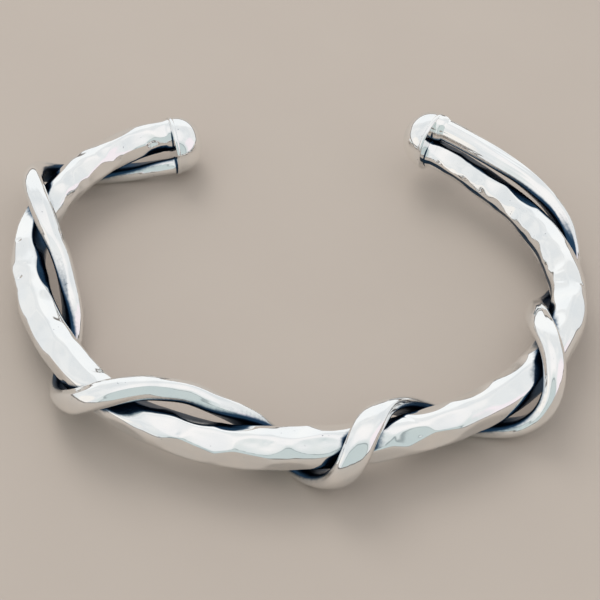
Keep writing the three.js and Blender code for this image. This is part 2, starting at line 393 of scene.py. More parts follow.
# Broad blows that turned a whole side of the bar flat
BROAD_BLOWS = np.array(
    [
        (-139, 128, 0.30),
        (-134.5, 54, 0.26),
        (-114, 64, 0.34),
        (-107, 60, 0.38),
        (-101, 61, 0.36),
        (-95, 55, 0.38),
        (-88, 53, 0.34),
        (-80, 55, 0.34),
        (-84, 121, 0.30),
        (-77, 112, 0.20),
        (-66, 117, 0.32),
        (-70, 62, 0.30),
        (62, 62, 0.30),
        (100, 118, 0.28),
        (139, 118, 0.26),
    ],
    dtype=[("bearing", float), ("turn", float), ("depth", float)],
)

# lean is the angle between a nick's long way and the bar
NICKS = np.array(
    [
        (-131, 85, 1.2, 0.25, 0.05, 80),
        (-104, 50, 0.9, 0.40, 0.12, 80),
        (-97, 81, 1.0, 0.30, 0.05, 60),
        (-95, 47, 0.9, 0.45, 0.12, 80),
        (-34, 58, 0.6, 0.40, 0.08, 20),
        (-10, 70, 0.35, 0.16, 0.02, 5),
        (-8, 68, 0.40, 0.14, 0.02, 0),
        (7, 70, 0.45, 0.16, 0.02, 0),
        (32, 104, 1.9, 0.35, 0.11, -50),
        (34, 45, 0.7, 0.35, 0.08, 30),
        (92, 42, 1.2, 0.45, 0.16, 80),
        (93, 122, 1.0, 0.35, 0.13, 70),
        (106, 111, 0.8, 0.25, 0.05, 10),
        (129, 134, 0.8, 0.35, 0.10, 60),
    ],
    dtype=[
        ("bearing", float), ("turn", float), ("length", float), ("width", float), ("depth", float),
        ("lean", float),
    ],
)
SOLDER_HEIGHT = 0.07
SOLDER_REACH = 1.6  # mm from the cap
SOLDER_SPREAD = 38  # degrees to each side of the wire
SOLDER_LUMPS = ((0.5, 4.1, 0.11), (0.3, 9.7, -0.07))  # height, waves per mm along, waves per degree round
FILLET = 0.11
FILLET_REACH = 0.2
SCATTER = (12.9898, 78.233, 43758.5453)  # any uneven factors do, as long as the last one is large


def uneven(index, salt):
    """A repeatable uneven number from -1 to 1."""
    wave = np.sin(index * SCATTER[0] + salt * SCATTER[1]) * SCATTER[2]
    return 2 * (wave - np.floor(wave)) - 1


def blows(kind):
    """Bearing, turn and depth of each blow of a kind, crowded towards the ends of the bar."""
    salt = kind["salt"]
    index = np.arange(kind["rows"] * kind["in_row"])
    row, step = np.divmod(index, kind["in_row"])
    place = step + (row % 2) * 0.5 + ROW_START + UNEVEN_STEP * uneven(index, salt)
    share = 2 * place / kind["in_row"] - 1
    bearing = BLOW_SPREAD * ((1 + BLOW_CROWDING) * share - BLOW_CROWDING * share**3)
    turn = (360 / kind["rows"]) * (row + UNEVEN_TURN * uneven(index, salt + 1))
    thickness = between(BAR_TABLE, "thick", np.clip(bearing, FIRST_BEARING, LAST_BEARING))
    strength = (thickness / THICKEST) ** 2
    depth = kind["depth"] * strength * (1 + UNEVEN_DEPTH * uneven(index, salt + 2))
    return np.stack([bearing, turn, depth], axis=-1)


for kind in BLOW_KINDS:
    print(kind["name"], "blows:", len(blows(kind)))

# %% The hammered radius
def flats(bearing, turn, radius, mm_per_degree, marks, kind):
    """How far the metal is cut down below its radius by a set of blows of one kind."""
    soft = np.ones_like(radius)
    for mark_bearing, mark_turn, depth in marks:
        distance = (bearing - mark_bearing) * mm_per_degree
        swing = np.cos(np.radians(turn - mark_turn))
        near = (np.abs(distance) < kind["longest"]) & (swing > WIDEST_SWING)
        flat = (radius[near] - depth) / swing[near] + kind["curve"] * distance[near] ** 2
        soft[near] += np.exp((radius[near] - flat) / kind["softness"])
    return kind["softness"] * np.log(soft)


def turned_between(turn, other):
    """How far one turn is from another, from -180 to 180 degrees."""
    return (turn - other + 180) % 360 - 180


def nicked(bearing, turn, radius, mm_per_degree):
    """How deep the nicks and pits go at each point."""
    depth = np.zeros_like(radius)
    for nick in NICKS:
        along = (bearing - nick["bearing"]) * mm_per_degree
        around = np.radians(turned_between(turn, nick["turn"])) * radius
        lean = math.radians(nick["lean"])
        long_way = along * math.cos(lean) + around * math.sin(lean)
        short_way = around * math.cos(lean) - along * math.sin(lean)
        spread = (2 * long_way / nick["length"]) ** 2 + (2 * short_way / nick["width"]) ** 2
        depth += nick["depth"] * np.exp(-spread)
    return depth


def solder(bearing, turn, from_end):
    """How far lumps of solder stand out of the bar where the wire joins it close to a cap."""
    aside = turned_between(turn, between(WIRE_TABLE, "turn", bearing))
    coarse, fine = (
        height * np.sin(along * from_end + around * aside) for height, along, around in SOLDER_LUMPS
    )
    spread = (aside / SOLDER_SPREAD) ** 2 + (from_end / SOLDER_REACH) ** 2
    return SOLDER_HEIGHT * (1 + coarse + fine) * np.exp(-spread)


def fillet(from_end):
    """How far solder has crept up round an end against its cap."""
    return FILLET * np.exp(-from_end / FILLET_REACH)


def rippled_share(bearing, turn):
    """How much of the short blows' depth shows: all of it on one side of the bar near both ends."""
    right = (bearing - RIPPLED_FROM_RIGHT) / RIPPLED_OVER_RIGHT
    left = (RIPPLED_FROM_LEFT - bearing) / RIPPLED_OVER_LEFT
    towards_end = np.clip(np.maximum(right, left), 0, 1)
    on_flank = np.exp(-((turned_between(turn, RIPPLED_SIDE) / RIPPLED_SPREAD) ** 2))
    return RIPPLED_ELSEWHERE + (1 - RIPPLED_ELSEWHERE) * towards_end * on_flank


def hammered_radius(bearing, turn):
    """The bar's radius with all its marks."""
    radius = between(BAR_TABLE, "thick", bearing) / 2 * BAR_SNUG
    mm_per_degree = np.radians(between(BAR_TABLE, "reach", bearing))
    from_end = np.minimum(bearing - FIRST_BEARING, LAST_BEARING - bearing) * mm_per_degree
    strength = np.clip((from_end - UNMARKED) / BLOW_FADE, 0, 1)
    strength = strength**2 * (3 - 2 * strength)
    broad = np.stack([BROAD_BLOWS[name] for name in ("bearing", "turn", "depth")], axis=-1)
    heavy = np.concatenate([blows(HEAVY), broad])
    cut = flats(bearing, turn, radius, mm_per_degree, heavy, HEAVY)
    short = flats(bearing, turn, radius, mm_per_degree, blows(SHORT), SHORT)
    light = flats(bearing, turn, radius, mm_per_degree, blows(LIGHT), LIGHT)
    cut = np.maximum(cut, rippled_share(bearing, turn) * short) + LIGHT_SHARE * light
    marked = radius - strength * cut - nicked(bearing, turn, radius, mm_per_degree)
    return marked + solder(bearing, turn, from_end) + fillet(from_end)


# %% Hammer the blank
blank_points = points_of(bar)
bearing = np.interp(blank_points[:, 0] / MM, bar_lengths, bar_bearings)
turn = np.degrees(np.arctan2(blank_points[:, 2], -blank_points[:, 1]))
radius = hammered_radius(bearing, turn)
blank_points[:, 1] = -radius * np.cos(np.radians(turn)) * MM
blank_points[:, 2] = radius * np.sin(np.radians(turn)) * MM
move_points(bar, blank_points)
print("bar radius, mm: from", round(radius.min(), 2), "to", round(radius.max(), 2))

# %% [markdown]
# ## Bending the bar
#
# The hammered bar is bent round an oval former. In Blender that is a Curve modifier: a line of points on
# the former's oval carries the straight bar, the rod's X runs along it, and its Z stays up. The modifier
# is applied, so the bend is in the mesh. The helper line is then thrown away.

# %% Bend it with a Curve modifier
FORMER_POINTS = 1400


def guide_line(name, points):
    """A plain line through points, to bend a rod along."""
    data = bpy.data.curves.new(name, "CURVE")
    data.dimensions = "3D"
    data.twist_mode = "Z_UP"
    spline = data.splines.new("POLY")
    spline.points.add(len(points) - 1)
    homogeneous = np.concatenate([points, np.ones((len(points), 1))], axis=1)
    spline.points.foreach_set("co", homogeneous.ravel())
    line = bpy.data.objects.new(name, data)
    bpy.context.scene.collection.objects.link(line)
    return line


even_lengths = np.linspace(0, bar_lengths[-1], FORMER_POINTS)
former = guide_line("former", bar_centre(np.interp(even_lengths, bar_lengths, bar_bearings)) * MM)
apply_modifier(bar, "CURVE", object=former, deform_axis="POS_X")
bpy.data.objects.remove(former)
move_points(bar, points_of(bar) + np.array(WRIST_CENTRE))
print("bar box, mm:", points_of(bar).min(axis=0).round(4) / MM, points_of(bar).max(axis=0).round(4) / MM)

# %% [markdown]
# ## Winding the wire
#
# The wire is drawn to a soft oval and wound round the bar by hand, tight in some turns and loose in
# others. A curve with an oval bevel would be quick, but the oval has to keep its broad side on the bar
# while it goes round it, and it grows wider on the front. So the straight wire's points are carried to
# the winding one by one: along the wire to a place on its line, and round the wire to a place on its
# oval, which is flatter on the bar's side. Draw lines run along the wire and show best on its straight
# right end, where a ring of solder stands round it. A few spots are filed or burnished flat, and the
# undersides are worn flat where the wire rests on the table.

# %% The wire's section
OUTER_POWER = 2.2  # the outer side is nearly an ellipse
INNER_POWER = 3.2  # the side that was pressed on the bar is flatter
WIRE_SNUG = 0.96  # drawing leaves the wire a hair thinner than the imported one
WIRE_WAVER = 0.012  # hand-drawn wire is never quite even, mm
DRAW_LINES = 17
DRAW_LINE_DEPTH = 0.009
FLAT_SOFTNESS = 0.012

# Spots that were filed or burnished flat. faces is the way that one faces, as a turn round the bar.
WIRE_FLATS = np.array(
    [
        (-121, 100, 0.16, 5.0),
        (-110, 82, 0.13, 8.0),
        (-98, 70, 0.10, 7.0),
        (-58, 92, 0.15, 6.0),
        (-47, 42, 0.08, 8.0),
        (-36, 120, 0.08, 8.0),
        (64, 20, 0.10, 5.0),
        (74, 72, 0.12, 6.0),
        (84, 105, 0.05, 6.0),
        (112, 100, 0.06, 9.0),
        (126, 80, 0.08, 10.0),
    ],
    dtype=[("bearing", float), ("faces", float), ("depth", float), ("length", float)],
)


def oval(round_angle, half_thick, half_width):
    """Points of the section: how far away from the bar and how far across each one lies."""
    cosine = np.cos(round_angle)
    sine = np.sin(round_angle)
    power = np.where(cosine > 0, OUTER_POWER, INNER_POWER)
    reach = (np.abs(cosine) ** power + np.abs(sine) ** power) ** (-1 / power)
    return np.stack([half_thick * reach * cosine, half_width * reach * sine], axis=-1)


def burnished(section, bearing, length, half_thick, half_width):
    """Presses the points of the section that stand past a flat onto it."""
    for flat in WIRE_FLATS:
        middle = np.interp(flat["bearing"], wire_bearings, wire_lengths)
        side = np.radians(between(WIRE_TABLE, "turn", bearing) - flat["faces"])
        way = np.stack([np.cos(side), np.sin(side)], axis=-1)
        tallest = np.hypot(half_thick * way[:, 0], half_width * way[:, 1])
        rise = flat["depth"] * (2 * (length - middle) / flat["length"]) ** 2
        past = np.sum(section * way, axis=1) - (tallest - flat["depth"] + rise)
        press = FLAT_SOFTNESS * np.logaddexp(0, past / FLAT_SOFTNESS)
        section = section - way * press[:, None]
    return section


print("flats on the wire:", len(WIRE_FLATS))

# %% Wind it
COLLAR = 0.3  # a ring of solder round the wire's right end, mm
COLLAR_LENGTH = 1.1
FILED_LENGTH = 3.0  # over this length the wire's rings lean until they lie flush with the bar's end
LINES_FROM = 100  # the bearing from which the draw lines grow to their full depth
LINES_OVER = 20  # degrees
LINES_ELSEWHERE = 0.25
LINES_DRIFT = 0.2  # radians per mm of wire, for the slow swing of the draw lines round it
WAVER_QUICK = 0.9  # radians per mm of wire
WAVER_SLOW = 0.37

blank_points = points_of(wire)
round_angle = np.arctan2(blank_points[:, 2], blank_points[:, 1])
length = blank_points[:, 0] / MM
bearing = np.interp(length, wire_lengths, wire_bearings)
centre, along, away, across = wire_frame(bearing)
waver = WIRE_WAVER * (
    np.sin(WAVER_QUICK * length + 2 * round_angle) + np.sin(WAVER_SLOW * length - round_angle)
)
lines = np.sin(DRAW_LINES * round_angle + np.sin(LINES_DRIFT * length))
line_depth = DRAW_LINE_DEPTH * np.clip((bearing - LINES_FROM) / LINES_OVER, LINES_ELSEWHERE, 1)
from_end = np.minimum(length, wire_lengths[-1] - length)
out_of_collar = (wire_lengths[-1] - length) / COLLAR_LENGTH
collar = COLLAR * np.sqrt(np.clip(1 - out_of_collar**3, 0, 1))
extra = waver + line_depth * lines + np.maximum(fillet(from_end), collar)
half_thick = between(WIRE_TABLE, "thick", bearing) / 2 * WIRE_SNUG + extra
half_width = between(WIRE_TABLE, "width", bearing) / 2 * WIRE_SNUG + extra
section = burnished(oval(round_angle, half_thick, half_width), bearing, length, half_thick, half_width)
wound = centre + away * section[:, :1] + across * section[:, 1:]
bar_along = bar_frame(bearing)[1]
ahead = np.sum((wound - centre) * bar_along, axis=1) / np.sum(along * bar_along, axis=1)
wound = wound - along * (ahead * np.clip(1 - from_end / FILED_LENGTH, 0, 1))[:, None]
wound[:, 2] = np.maximum(wound[:, 2], -REST_DEPTH)
move_points(wire, wound * MM + np.array(WRIST_CENTRE))
print("wire box, mm:", points_of(wire).min(axis=0).round(4) / MM, points_of(wire).max(axis=0).round(4) / MM)

# %% [markdown]
# ## The caps
#
# Each end is closed by a dome pressed from sheet, with a small rounded lip. A lathe profile with a Screw
# modifier would give it too, but the dome is half of a UV sphere pressed a little flatter, which needs no
# profile. Its open edge is extruded ring by ring round a half circle to make the lip, and the last ring is
# drawn in a little and filled to make the flat back. The filed ends of the bar and the wire meet that
# back, with a hairline seam between, as on the real torc. The doming punch leaves a few shallow dents.

# %% The dome and its lip
BACK_INSET = 0.985  # the ring just inside the lip, as a share of its radius
LIP_STEPS = 10


def domed_cap(name):
    """A cap about the origin: its back faces down and its dome points up Z."""
    dome_radius = (CAP_RADIUS - CAP_LIP) * MM
    bpy.ops.object.select_all(action="DESELECT")
    bpy.ops.mesh.primitive_uv_sphere_add(segments=96, ring_count=56, radius=dome_radius)
    cap = bpy.context.object
    cap.name = name
    cap.data.name = name
    select_in_edit_mode(cap, faces=lambda face: face.calc_center_median().z < 0)
    bpy.ops.mesh.delete(type="FACE")
    bpy.ops.mesh.select_all(action="SELECT")
    press = CAP_DOME * MM / dome_radius
    bpy.ops.transform.resize(value=(1, 1, press), center_override=(0, 0, 0))
    bpy.ops.object.mode_set(mode="OBJECT")
    select_in_edit_mode(cap, edges=lambda edge: edge.is_boundary)
    reach = dome_radius
    for step in range(1, LIP_STEPS + 1):
        angle = math.pi * step / LIP_STEPS
        next_reach = dome_radius + CAP_LIP * MM * math.sin(angle)
        drop = CAP_BAND * MM * (math.cos(angle) - math.cos(angle - math.pi / LIP_STEPS)) / 2
        bpy.ops.mesh.extrude_region_move(TRANSFORM_OT_translate={"value": (0, 0, drop)})
        grow = next_reach / reach
        bpy.ops.transform.resize(value=(grow, grow, 1), center_override=(0, 0, 0))
        reach = next_reach
    bpy.ops.mesh.extrude_region_move(TRANSFORM_OT_translate={"value": (0, 0, 0)})
    bpy.ops.transform.resize(value=(BACK_INSET, BACK_INSET, 1), center_override=(0, 0, 0))
    bpy.ops.mesh.edge_face_add()
    bpy.ops.mesh.select_all(action="SELECT")
    bpy.ops.mesh.normals_make_consistent(inside=False)
    bpy.ops.object.mode_set(mode="OBJECT")
    return cap


# %% Dents of the doming punch
DENTS = 9
DENT_DEPTH = 0.02
DENT_SOFTNESS = 0.015
DENT_FADE = 0.3  # mm above the lip over which the dents begin
DENT_LEANS = (18, 50, 82)  # degrees down from the top of the dome, in turn
DENT_STRAY_DOWN = 8  # degrees
DENT_STRAY_ROUND = 15
DENT_UNEVEN = 0.5
DOME_POWER = 2.1  # 2 would be half an ellipsoid, more is fuller at the shoulder


def fullness(points):
    """How far each point of the dome moves out to make its shoulder fuller."""
    radius = np.hypot(points[:, 0], points[:, 1]) / (CAP_RADIUS - CAP_LIP)
    height = np.clip(points[:, 2] / CAP_DOME, 0, 1)
    even = np.hypot(radius, height)
    return even * (radius**DOME_POWER + height**DOME_POWER) ** (-1 / DOME_POWER)


def press_dents(cap, salt):
    """Presses shallow flats into the dome, as a doming punch leaves them."""
    points = points_of(cap) / MM
    points = np.where(points[:, 2:] > 0, points * fullness(points)[:, None], points)
    for index in range(DENTS):
        lean = math.radians(DENT_LEANS[index % 3] + DENT_STRAY_DOWN * uneven(index, salt + 3))
        around = math.radians(360 / DENTS * index + DENT_STRAY_ROUND * uneven(index, salt + 4))
        aside = math.sin(lean)
        way = np.array([aside * math.cos(around), aside * math.sin(around), math.cos(lean)])
        height = points @ way
        past = height - (height.max() - DENT_DEPTH * (1 + DENT_UNEVEN * uneven(index, salt + 5)))
        press = DENT_SOFTNESS * np.logaddexp(0, past / DENT_SOFTNESS)
        on_dome = np.clip(points[:, 2] / DENT_FADE, 0, 1)
        points = points - way * (press * on_dome)[:, None]
    move_points(cap, points * MM)


print("dents in each cap:", DENTS)


# %% Set a cap on an end
def axes_matrix(x_axis, y_axis, z_axis, place):
    """The matrix that carries X, Y and Z to three directions and the origin to a place."""
    turned = Matrix((x_axis, y_axis, z_axis)).transposed().to_4x4()
    turned.translation = place
    return turned


def set_cap(name, bearing, out_sign):
    """Places a cap on the end at a bearing."""
    at = np.array([bearing])
    centre, along = (Vector(v[0]) for v in bar_frame(at)[:2])
    out = along * out_sign
    to_wire = Vector(side_of_bar(at, between(WIRE_TABLE, "turn", at))[0])
    back = centre + to_wire * CAP_OFFSET + out * (CAP_SEAM + CAP_BAND)
    cap = domed_cap(name)
    press_dents(cap, out_sign)
    cap.data.transform(axes_matrix(to_wire, out.cross(to_wire), out, back * MM + WRIST_CENTRE))
    print(name, "points:", len(cap.data.vertices))
    return cap


left_cap = set_cap("cap_left", FIRST_BEARING, -1)
right_cap = set_cap("cap_right", LAST_BEARING, 1)

# %% [markdown]
# ## Smooth faces
#
# Polished metal shows every facet, so all faces are shaded smooth. Shading them by hand, face by face,
# would be slow, so it goes by angle: edges sharper than forty degrees, such as the filed ends of the bar
# and the wire, stay crisp.

# %% Smooth shading
CRISP_ANGLE = math.radians(40)

for piece in (bar, wire, left_cap, right_cap):
    alone(piece)
    bpy.ops.object.shade_smooth_by_angle(angle=CRISP_ANGLE)
    print(piece.name, "faces:", len(piece.data.polygons))

# %% [markdown]
# ## Tarnish and painted shade in the crevices
#
# Silver stays bright where it is rubbed and goes blue-black where a cloth can't reach, and shade falls
# between two parts that crowd each other. The darkening painted here is partly that tarnish and partly
# painted shade where the wire lies close to the bar. The seams at the caps are dark below the solder, and a
# dark band low on the bar's inside near its right end is a painted reflection of the shaded table. An
# Ambient Occlusion node would find such places only in one renderer. Both neighbours are rods, and for a
# long rod there is a short formula: the share of a point's view that it fills is half the difference of
# the sines of the two directions, measured from the point's normal, between which it is seen. The result
# is kept on the mesh as an attribute called tarnish_and_shade. The caps stay clean.

# %% How much of a point's view a rod fills
LOOKUP_STEPS = 2000


def nearest_on_line(points, centre):
    """The nearest place on a rod's centre line to each point, and its bearing."""
    bearings = np.linspace(FIRST_BEARING, LAST_BEARING, LOOKUP_STEPS)
    line = centre(bearings)
    tree = KDTree(len(line))
    for index, place in enumerate(line):
        tree.insert(place, index)
    tree.balance()
    nearest = np.array([tree.find(point)[1] for point in points])
    return line[nearest], bearings[nearest]


def view_filled(points, normals, rod_centre, rod_radius):
    """The share of each point's view that a rod fills, from 0 to 1."""
    centre, bearing = nearest_on_line(points, rod_centre)
    offset = centre - points
    distance = np.linalg.norm(offset, axis=1)
    half_view = np.arcsin(np.clip(rod_radius(bearing) / distance, 0, 1))
    tilt = np.arccos(np.clip(np.sum(normals * offset, axis=1) / distance, -1, 1))
    first = np.clip(tilt - half_view, -math.pi / 2, math.pi / 2)
    last = np.clip(tilt + half_view, -math.pi / 2, math.pi / 2)
    return (np.sin(last) - np.sin(first)) / 2


def bar_radius(bearing):
    return between(BAR_TABLE, "thick", bearing) / 2


def wire_radius(bearing):
    return (between(WIRE_TABLE, "thick", bearing) + between(WIRE_TABLE, "width", bearing)) / 4


# %% Paint the tarnish and the painted shade
SEAM_DARKNESS = 0.7
SEAM_TARNISH = 0.09  # mm, how fast the dark line at a cap's seam fades
BAR_SEAM_TOP = 2.1  # mm above the bar's centre, where solder fills the seam
WIRE_SEAM_TOP = 3.7
SEAM_FADE = 0.8  # mm, over which it gets dark below that
SEAM_LEAST = 0.05
UNDERSIDE_FROM = 60  # the bearing from which a painted reflection of the shaded table darkens the bar's lower side
UNDERSIDE_OVER = 12  # degrees over which the band grows
UNDERSIDE_EDGE = 4  # how sharply it ends where the metal turns away from the wrist
UNDERSIDE_DARKNESS = 0.55
UNDERSIDE_HEIGHT = 0.03  # of the band's middle over the bar's centre, as a share of its radius
UNDERSIDE_HALF = 0.19  # half of the band's height, as a share of the radius


def place_and_normals(piece):
    return (points_of(piece) - np.array(WRIST_CENTRE)) / MM, points_of(piece, "normal")


def underside_dark_reflection(places, normals):
    """A painted dark reflection of the shaded table: a band low on the wrist's side of the bar, towards its
    right end.
    """
    bearing = np.degrees(np.arctan2(places[:, 0], -places[:, 1]))
    facing_out = np.sum(unit(places * (1, 1, 0)) * normals, axis=1)
    towards_wrist = np.clip(-UNDERSIDE_EDGE * facing_out, 0, 1)
    share = np.clip((bearing - UNDERSIDE_FROM) / UNDERSIDE_OVER, 0, 1) * towards_wrist
    height = places[:, 2] / bar_radius(bearing)
    band = np.exp(-(((height - UNDERSIDE_HEIGHT) / UNDERSIDE_HALF) ** 4))
    return UNDERSIDE_DARKNESS * share * band


for piece, line, radius_of, seam_top in (
    (bar, wire_centre, wire_radius, BAR_SEAM_TOP),
    (wire, bar_centre, bar_radius, WIRE_SEAM_TOP),
):
    places, normals = place_and_normals(piece)
    # Painted shade: the share of view that the other rod fills darkens this piece, partly as real tarnish
    # and partly as the shade between the parts.
    filled = view_filled(places, normals, line, radius_of)
    blank = np.empty(3 * len(places))
    piece.data.attributes["blank"].data.foreach_get("vector", blank)
    from_start = blank[::3]
    from_seam = np.minimum(from_start, from_start.max() - from_start)
    open_seam = np.clip((seam_top - places[:, 2]) / SEAM_FADE, SEAM_LEAST, 1)
    filled = np.maximum(filled, SEAM_DARKNESS * open_seam * np.exp(-from_seam / SEAM_TARNISH))
    # Painted reflection: a dark band low on the bar's inside near its right end stands for the shaded table
    # mirrored there.
    if piece == bar:
        filled = np.maximum(filled, underside_dark_reflection(places, normals))
    paint(piece, "tarnish_and_shade", filled)
    print(piece.name, "view filled, up to:", round(filled.max(), 2))
for cap in (left_cap, right_cap):
    paint(cap, "tarnish_and_shade", np.zeros(len(cap.data.vertices)))

# %% [markdown]
# ## Writing a finish
#
# A finish is a small network of nodes. Written with plain calls it is long and hard to read, so a class
# wraps a socket and lets ordinary arithmetic add the Math nodes, and another makes every other node from
# its type, its settings and its inputs. The same two classes write the light of the tent.

# %% Nodes as expressions
class Amount:
    """A number, a colour or a direction that varies. Arithmetic on a number adds Math nodes."""

    def __init__(self, network, socket):
        self.network = network
        self.socket = socket

    def __add__(self, other):
        return self.network.math("ADD", self, other)

    def __radd__(self, other):
        return self.network.math("ADD", other, self)

    def __sub__(self, other):
        return self.network.math("SUBTRACT", self, other)

    def __rsub__(self, other):
        return self.network.math("SUBTRACT", other, self)

    def __mul__(self, other):
        return self.network.math("MULTIPLY", self, other)

    def __rmul__(self, other):
        return self.network.math("MULTIPLY", other, self)


class Network:
    """Adds nodes to one node tree."""

    def __init__(self, tree):
        self.tree = tree

    def feed(self, socket, value):
        if isinstance(value, Amount):
            self.tree.links.new(value.socket, socket)
        else:
            socket.default_value = value

    def add(self, kind, settings=None, inputs=None, output=0):
        """Adds a node with its settings and inputs and returns one of its outputs."""
        node = self.tree.nodes.new(kind)
        for name, value in (settings or {}).items():
            setattr(node, name, value)
        for name, value in (inputs or {}).items():
            self.feed(node.inputs[name], value)
        return Amount(self, node.outputs[output])

    def math(self, operation, first, second):
        return self.add("ShaderNodeMath", {"operation": operation}, {0: first, 1: second})

    def mix(self, share, first, second):
        """A colour between two colours."""
        return self.add(
            "ShaderNodeMix", {"data_type": "RGBA"},
            {"Factor": share, "A": first, "B": second}, output="Result",
        )

    def ramp(self, value, low, high):
        """Rises smoothly from 0 at low to 1 at high."""
        return self.add(
            "ShaderNodeMapRange", {"interpolation_type": "SMOOTHSTEP"},
            {"Value": value, "From Min": low, "From Max": high}, output="Result",
        )

    def noise(self, place, scale, detail):
        """Soft noise from 0 to 1. Detail is how many finer layers it has."""
        return self.add(
            "ShaderNodeTexNoise", inputs={"Vector": place, "Scale": scale, "Detail": detail}, output="Fac"
        )


class Finish(Network):
    """A material whose shader is fed by expressions."""

    def __init__(self, name):
        self.material = bpy.data.materials.new(name)
        self.material.use_nodes = True
        super().__init__(self.material.node_tree)
        self.shader = self.tree.nodes["Principled BSDF"]

    def set(self, **inputs):
        for name, value in inputs.items():
            self.feed(self.shader.inputs[name.replace("_", " ")], value)


# %% [markdown]
# ## Polished silver
#
# Silver is almost white and mirrors what is round it. A plain mirror finish would be simpler, but four
# things keep the real one from looking like chrome: soft patches where the polish is a little duller,
# hair-fine lines, tarnish that goes from pale grey through steel to navy in the crevices, and a few black
# specks where the metal is pitted. The navy of the crevices is painted from how much of a point's view the
# other rod fills, so it is partly that tarnish and partly painted shade. On the wire the lines run along
# it, because it was pulled through a draw plate, so they are looked up by the place on the straight blank.

# %% Silver
BRIGHT_SILVER = (0.955, 0.950, 0.935, 1)
COOL_SILVER = (0.905, 0.915, 0.915, 1)
# The three darkening colours are partly tarnish and partly painted shade in the crevices.
PALE_TARNISH_AND_SHADE = (0.46, 0.49, 0.52, 1)
STEEL_TARNISH_AND_SHADE = (0.13, 0.19, 0.26, 1)
NAVY_TARNISH_AND_SHADE = (0.019, 0.050, 0.098, 1)
POLISH = 0.03  # the roughness of the brightest spots
PATCH_SCALE = 300.0
GRAIN_SCALE = 2600.0
COOL_PATCHES = (0.35, 0.65)  # the patches' values between which the silver turns from bright to cool
SPECK_GRAIN = (0.715, 0.735)  # the values of grain and of patches at which a speck begins and is full
SPECK_PATCHES = (0.50, 0.62)
SPECK_DEPTH = 0.5
COVER = 0.8  # how fully the pale tarnish and painted shade, and the specks, hide the silver
DARKENING_IN_PATCHES = 0.28  # how much the patches and the grain shift the edge of the tarnish and painted shade
DARKENING_IN_GRAIN = 0.10
DULL_PATCHES = 0.05  # the roughness that patches, navy tarnish and painted shade, and specks add
DULL_NAVY = 0.26
DULL_SPECKS = 0.3


def silver(name, line_scale, line_depth, clean_up_to, navy_from):
    """Polished silver. It is clean up to one value of the tarnish and painted shade, and navy from another.
    """
    finish = Finish(name)
    blank = finish.add("ShaderNodeAttribute", {"attribute_name": "blank"}, output="Vector")
    drawn = finish.add("ShaderNodeMapping", inputs={"Vector": blank, "Scale": line_scale}, output="Vector")
    solid = finish.add("ShaderNodeTexCoord", output="Object")
    patches = finish.noise(solid, scale=PATCH_SCALE, detail=3.0)
    grain = finish.noise(solid, scale=GRAIN_SCALE, detail=3.0)
    lines = finish.noise(drawn, scale=1.0, detail=3.0)
    filled = finish.add("ShaderNodeAttribute", {"attribute_name": "tarnish_and_shade"}, output="Fac")
    # The darkening is partly tarnish and partly painted shade where the bar and the wire crowd each other.
    darkening = filled * (1 - DARKENING_IN_PATCHES / 2 + DARKENING_IN_PATCHES * patches)
    darkening = darkening + DARKENING_IN_GRAIN * grain - DARKENING_IN_GRAIN / 2
    step = (navy_from - clean_up_to) / 3
    pale = finish.ramp(darkening, clean_up_to, clean_up_to + 2 * step)
    steel = finish.ramp(darkening, clean_up_to + step, navy_from)
    navy = finish.ramp(darkening, clean_up_to + 2 * step, navy_from + step)
    # A speck is where the grain is at its highest inside a patch.
    specks = finish.ramp(grain, *SPECK_GRAIN) * finish.ramp(patches, *SPECK_PATCHES)
    colour = finish.mix(finish.ramp(patches, *COOL_PATCHES), BRIGHT_SILVER, COOL_SILVER)
    colour = finish.mix(COVER * pale, colour, PALE_TARNISH_AND_SHADE)
    colour = finish.mix(steel, colour, STEEL_TARNISH_AND_SHADE)
    colour = finish.mix(navy, colour, NAVY_TARNISH_AND_SHADE)
    colour = finish.mix(COVER * specks, colour, NAVY_TARNISH_AND_SHADE)
    relief = lines - SPECK_DEPTH * specks
    bump = finish.add(
        "ShaderNodeBump",
        inputs={"Strength": 1.0, "Distance": line_depth * MM, "Height": relief}, output="Normal",
    )
    dull = POLISH + DULL_PATCHES * patches + DULL_NAVY * navy + DULL_SPECKS * specks
    finish.set(Metallic=1.0, Base_Color=colour, Roughness=dull, Normal=bump)
    return finish.material


hammered_silver = silver(
    "hammered_silver", line_scale=(0.8, 1.6, 1.6), line_depth=0.004, clean_up_to=0.20, navy_from=0.36
)
wire_silver = silver(
    "polished_wire", line_scale=(0.05, 5.0, 5.0), line_depth=0.005, clean_up_to=0.03, navy_from=0.22
)
cap_silver = silver(
    "polished_cap", line_scale=(1.0, 1.0, 1.0), line_depth=0.001, clean_up_to=0.30, navy_from=0.50
)

for piece, finish in (
    (bar, hammered_silver),
    (wire, wire_silver),
    (left_cap, cap_silver),
    (right_cap, cap_silver),
):
    piece.data.materials.clear()
    piece.data.materials.append(finish)
    print(piece.name, "is of", finish.name)

# %% [markdown]
# ## Table and light
#
# The torc lies on a plain pale table. A mirror only shows what is round it, so the light matters more than
# the finish. Area lamps would each show in every facet as a hard white square. A silversmith shows such
# work in a white tent instead: bright all round with soft folds, a little brighter low at the back, and
# grey-green at the front, where its opening is and someone looks in. Its hem is dark. The world's colour
# is that tent, written by how close each direction is to a few others.

# %% Floor
TABLE_SIZE = 6
TABLE_DROP = 0.02 * MM  # just below the torc, so that no two faces lie in one plane
TABLE_WARM = (0.49, 0.42, 0.365, 1)
TABLE_PALE = (0.52, 0.45, 0.39, 1)

